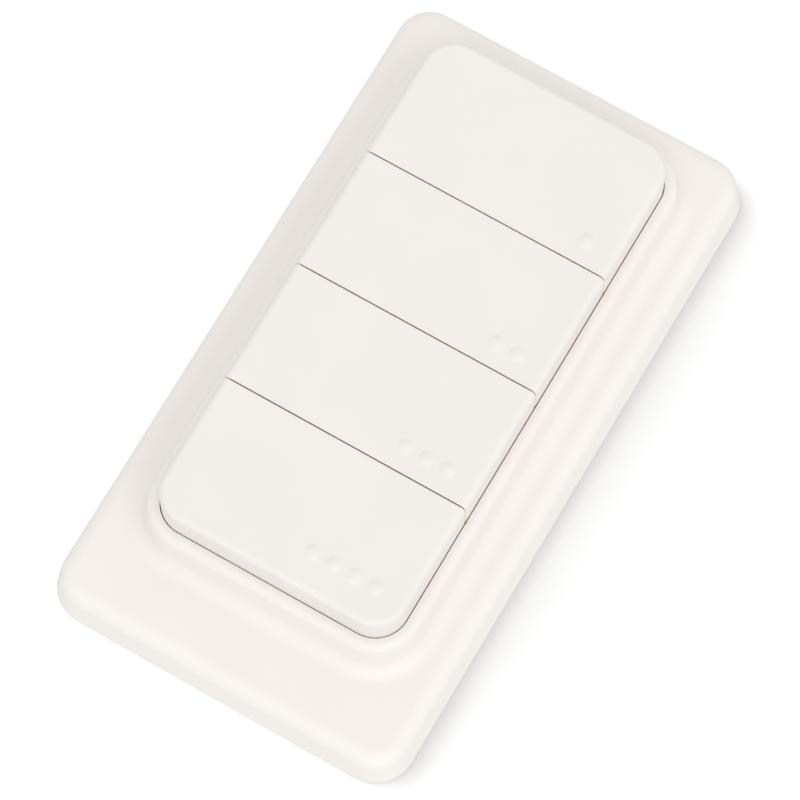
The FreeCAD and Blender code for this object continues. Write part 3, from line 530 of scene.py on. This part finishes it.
def hooked_leg(side, y, bottom, top):
    """A snap leg: its side view, a bar with a hook at the foot, carried across its width."""
    inner, outer = leg_reach, leg_reach + leg_thickness
    hook = outer + hook_reach
    view = np.array([(inner, bottom), (outer, bottom), (hook, bottom + hook_reach),
                     (hook, bottom + hook_height), (outer, bottom + hook_height),
                     (outer, top), (inner, top)])
    rows = np.stack([np.stack([side * view[:, 0], np.full(len(view), y + shift), view[:, 1]], axis=1)
                     for shift in (-leg_width / 2, leg_width / 2)])
    return [skin(rows), flat_face(rows[0]), flat_face(rows[1])]


def painted_glow_gaps(material):
    """Painted glow: amber painted into the base colour in the gaps round a key, in place of light that comes
    through the thin plastic.

    Between the keys a share of it falls to 0 from a gap's wall across its rounded edge, by the distance
    from the nearest gap, min(|y|, ||y| - pitch|) from the remote's middle. The share is larger near the
    ends of a gap, where |x| comes near the remote's side. Under the lip it is 1.
    """
    nodes = material.node_tree.nodes
    links = material.node_tree.links
    base = nodes["Principled BSDF"].inputs["Base Color"]

    def step(operation, first, second=None):
        """One sum on a value, with a second value or a number."""
        node = nodes.new("ShaderNodeMath")
        node.operation = operation
        links.new(first, node.inputs[0])
        if isinstance(second, float):
            node.inputs[1].default_value = second
        elif second is not None:
            links.new(second, node.inputs[1])
        return node.outputs["Value"]

    def fade(value, full, none, share):
        """A share that falls in a straight line to 0 as the value goes from one limit to the other."""
        node = nodes.new("ShaderNodeMapRange")
        node.inputs["From Min"].default_value = full
        node.inputs["From Max"].default_value = none
        node.inputs["To Min"].default_value = share
        node.inputs["To Max"].default_value = 0.0
        links.new(value, node.inputs["Value"])
        return node.outputs["Result"]

    axes = nodes.new("ShaderNodeSeparateXYZ")
    links.new(nodes.new("ShaderNodeTexCoord").outputs["Object"], axes.inputs["Vector"])
    along = step("ABSOLUTE", step("SUBTRACT", axes.outputs["Y"], dock_y))
    from_gap = step("MINIMUM", along, step("ABSOLUTE", step("SUBTRACT", along, key_pitch)))
    beside = fade(from_gap, key_gap / 2, key_gap / 2 + gap_rounding, 1.0)
    at_end = fade(step("ABSOLUTE", axes.outputs["X"]), case_high.x, case_high.x - gap_end, gap_end_painted_glow)
    between = step("MULTIPLY", beside, step("MAXIMUM", at_end, gap_painted_glow))
    under_lip = fade(axes.outputs["Z"], lip - lip_rounding, lip, 1.0)
    # The amber of the painted glow is mixed into the base colour here.
    painted_glow_mix = nodes.new("ShaderNodeMix")
    painted_glow_mix.data_type = "RGBA"
    painted_glow_mix.inputs["B"].default_value = painted_glow_colour
    links.new(step("MAXIMUM", between, under_lip), painted_glow_mix.inputs["Factor"])
    links.new(base.links[0].from_socket, painted_glow_mix.inputs["A"])
    links.new(painted_glow_mix.outputs["Result"], base)


key_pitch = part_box("key_2")[1].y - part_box("key_3")[1].y
key_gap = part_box("key_2")[0].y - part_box("key_3")[1].y
key_plastic = moulded_plastic("key_plastic", colour=(0.782, 0.748, 0.717, 1), shade=(0.768, 0.734, 0.701, 1),
                              roughness=0.5, grain_size=0.14 * MM, grain_depth=0.005 * MM)
# Amber painted into the gaps round the keys stands in for light that comes through the plastic.
painted_glow_gaps(key_plastic)
for number in KEY_NUMBERS:
    key_low, key_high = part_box(f"key_{number}")
    key_top = key_high.z - dot_height
    key_middle = (key_low.y + key_high.y) / 2
    cap = key_cap(key_low.y, key_high.y, key_top, number == 4, number == 1)
    dot_y = dock_y + key_pitch * (2 - number) + dot_rise
    dots = [dome(case_high.x - dot_inset - dot_pitch * index, dot_y, key_top) for index in range(number)]
    root = key_top - key_roof / 2
    plunger = turned([0.0, plunger_radius - foot_break, plunger_radius, plunger_radius, 0.0],
                     [plunger_bottom, plunger_bottom, plunger_bottom + foot_break, root, root],
                     0.0, key_middle)
    key_face = flat_face(cap[0], *[dot[-1] for dot in dots])
    key_parts = [skin(cap), key_face, flat_face(cap[-1]), skin(plunger)]
    key_parts += [skin(dot) for dot in dots]
    key_parts += hooked_leg(-1, key_middle, key_low.z, root)
    key_parts += hooked_leg(1, key_middle, key_low.z, root)
    key = make_piece(f"key_cap_{number}", key_parts, key_plastic)
    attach(key, f"key_{number}_press")
    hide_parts(f"key_{number}")


# Floor: a plain white sheet that the switch lies on, bright enough to burn out to white. It takes the
# shadow of the switch, but throws no light back up at its walls.
floor_half = 1.5
floor_mesh = bpy.data.meshes.new("floor")
floor_mesh.from_pydata([(-floor_half, -floor_half, 0), (floor_half, -floor_half, 0),
                        (floor_half, floor_half, 0), (-floor_half, floor_half, 0)], [], [(0, 1, 2, 3)])
floor = bpy.data.objects.new("floor", floor_mesh)
bpy.context.scene.collection.objects.link(floor)
floor_paper = moulded_plastic("floor_paper", colour=(0.80, 0.80, 0.80, 1), shade=(0.79, 0.79, 0.79, 1),
                              roughness=0.8, grain_size=0.6 * MM, grain_depth=0.01 * MM)
floor_mesh.materials.append(floor_paper)
floor.visible_diffuse = False
floor.visible_glossy = False


# Studio light: a white surround, a little brighter above than below, and two soft lamps. One stands
# at the lower right of the switch and is flagged off the floor. The other lights only the floor,
# from the left, so that the switch throws a short soft shadow to the right.
surround_strength = 0.925
surround_rise = (0.0, 0.0, 0.063)
front_lamp = {"azimuth": 315, "elevation": 42, "softness": 80, "strength": 0.85}
floor_lamp = {"azimuth": 185, "elevation": 50, "softness": 60, "strength": 2.10}

world = bpy.data.worlds.new("studio")
bpy.context.scene.world = world
world.use_nodes = True
world_nodes = world.node_tree.nodes
surround = world_nodes["Background"]
surround.inputs["Color"].default_value = (1.0, 1.0, 1.0, 1.0)
way = world_nodes.new("ShaderNodeTexCoord")
upward = world_nodes.new("ShaderNodeVectorMath")
upward.operation = "DOT_PRODUCT"
upward.inputs[1].default_value = surround_rise
level = world_nodes.new("ShaderNodeMath")
level.operation = "ADD"
level.inputs[1].default_value = surround_strength
world.node_tree.links.new(way.outputs["Generated"], upward.inputs[0])
world.node_tree.links.new(upward.outputs["Value"], level.inputs[0])
world.node_tree.links.new(level.outputs["Value"], surround.inputs["Strength"])


def soft_lamp(name, lit, azimuth, elevation, softness, strength):
    """A far lamp in a direction given in degrees, as wide as its softness, that lights only some pieces."""
    lamp = bpy.data.objects.new(name, bpy.data.lights.new(name, "SUN"))
    lamp.data.angle = math.radians(softness)
    lamp.data.energy = strength
    turn, tilt = math.radians(azimuth), math.radians(elevation)
    towards = Vector((math.cos(tilt) * math.cos(turn), math.cos(tilt) * math.sin(turn), math.sin(tilt)))
    lamp.rotation_euler = towards.to_track_quat("Z", "Y").to_euler()
    bpy.context.scene.collection.objects.link(lamp)
    lamp.light_linking.receiver_collection = lit


lit_switch = bpy.data.collections.new("lit_switch")
lit_floor = bpy.data.collections.new("lit_floor")
for item in bpy.context.scene.objects:
    if item.type == "MESH":
        group = lit_floor if item == floor else lit_switch
        group.objects.link(item)
soft_lamp("front_lamp", lit_switch, **front_lamp)
soft_lamp("floor_lamp", lit_floor, **floor_lamp)
bpy.context.scene.view_settings.view_transform = "Standard"


# Camera: a long lens half a metre off, almost above the switch and towards its lower right. It is
# rolled, so that the switch lies askew in the picture.
camera_place = Vector((80.33, -142.05, 478.72)) * MM
camera_aim = Vector((1.38, -3.11, 7.0)) * MM
camera_roll = math.radians(31.5)
camera_lens = 205.6
camera_sensor = 36.0
sight = (camera_aim - camera_place).normalized()
level_right = sight.cross(Vector((0, 1, 0))).normalized()
level_up = level_right.cross(sight)
camera_up = level_up * math.cos(camera_roll) - level_right * math.sin(camera_roll)
camera_right = sight.cross(camera_up)
camera = bpy.data.objects.new("camera", bpy.data.cameras.new("camera"))
camera.data.lens = camera_lens
camera.data.sensor_width = camera_sensor
camera.matrix_world = Matrix((
    (camera_right.x, camera_up.x, -sight.x, camera_place.x),
    (camera_right.y, camera_up.y, -sight.y, camera_place.y),
    (camera_right.z, camera_up.z, -sight.z, camera_place.z),
    (0, 0, 0, 1)))
bpy.context.scene.collection.objects.link(camera)
bpy.context.scene.camera = camera
